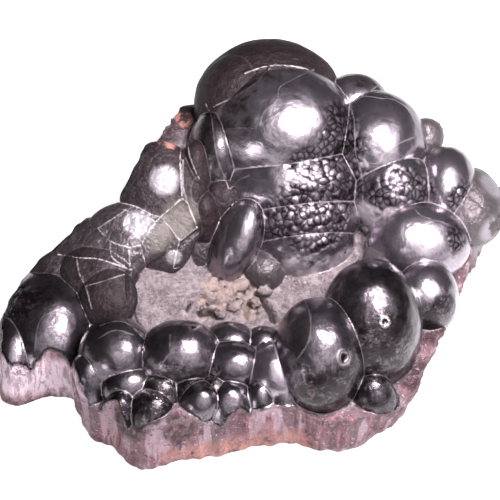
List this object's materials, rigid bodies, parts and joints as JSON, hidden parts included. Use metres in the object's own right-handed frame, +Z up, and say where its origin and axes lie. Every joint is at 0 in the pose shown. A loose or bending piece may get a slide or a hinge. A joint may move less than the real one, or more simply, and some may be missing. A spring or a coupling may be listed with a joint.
{
  "type": "botryoidal hematite specimen",
  "caption": "Botryoidal hematite: a crust of dark, mirror-smooth kidney-shaped lobes around a great dome, on a broken fibrous base that rests flat.",
  "frame": {"origin": "middle of the bounding box, on the flat broken face that the specimen rests on", "axes": "+Z up, +X along the longest side, -Y towards the low front with the small lobes, +Y towards the great dome"},
  "size_m": [0.1016, 0.0846, 0.0443],
  "materials": {
    "hematite": "dark grey metallic mirror-smooth lobes with fine pale seams, a matte pinkish-grey hollow, and a pink-brown fibrous broken base"
  },
  "bodies": {
    "root": {"hematite": "hematite"}
  },
  "joints": []
}
